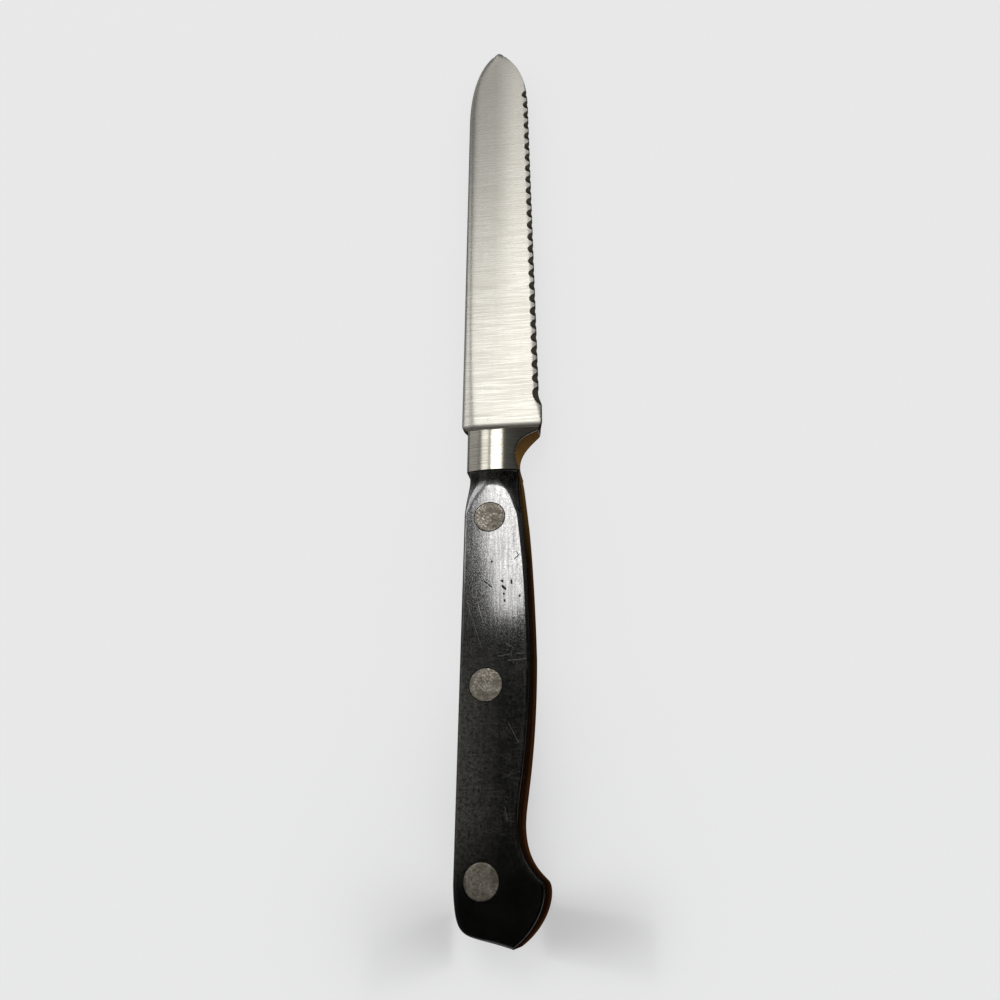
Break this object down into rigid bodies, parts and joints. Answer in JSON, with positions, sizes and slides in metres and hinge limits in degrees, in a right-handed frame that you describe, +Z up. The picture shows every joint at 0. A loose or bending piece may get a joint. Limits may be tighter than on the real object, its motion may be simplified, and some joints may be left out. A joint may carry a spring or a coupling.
{
  "type": "serrated utility knife",
  "caption": "Serrated utility knife: forged stainless blade with scalloped edge, bolster and full tang, black riveted grip scales, for slicing crusty or soft-skinned food.",
  "frame": {"origin": "under the middle of the knife's box, on the surface that it lies on", "axes": "+Y along the blade to the tip, +X to the cutting edge, +Z up, out of the right scale's flank"},
  "size_m": [0.0202, 0.2468, 0.0126],
  "materials": {
    "steel": "satin ground stainless steel",
    "grip": "worn black moulded polymer with a dull sheen",
    "rivet": "dulled and speckled from washing"
  },
  "bodies": {
    "root": {"blade_bolster_tang": "steel", "scale_right": "grip", "scale_left": "grip", "rivet_front_tube": "rivet", "rivet_front_pin": "rivet", "rivet_middle_tube": "rivet", "rivet_middle_pin": "rivet", "rivet_rear_tube": "rivet", "rivet_rear_pin": "rivet"}
  },
  "joints": []
}
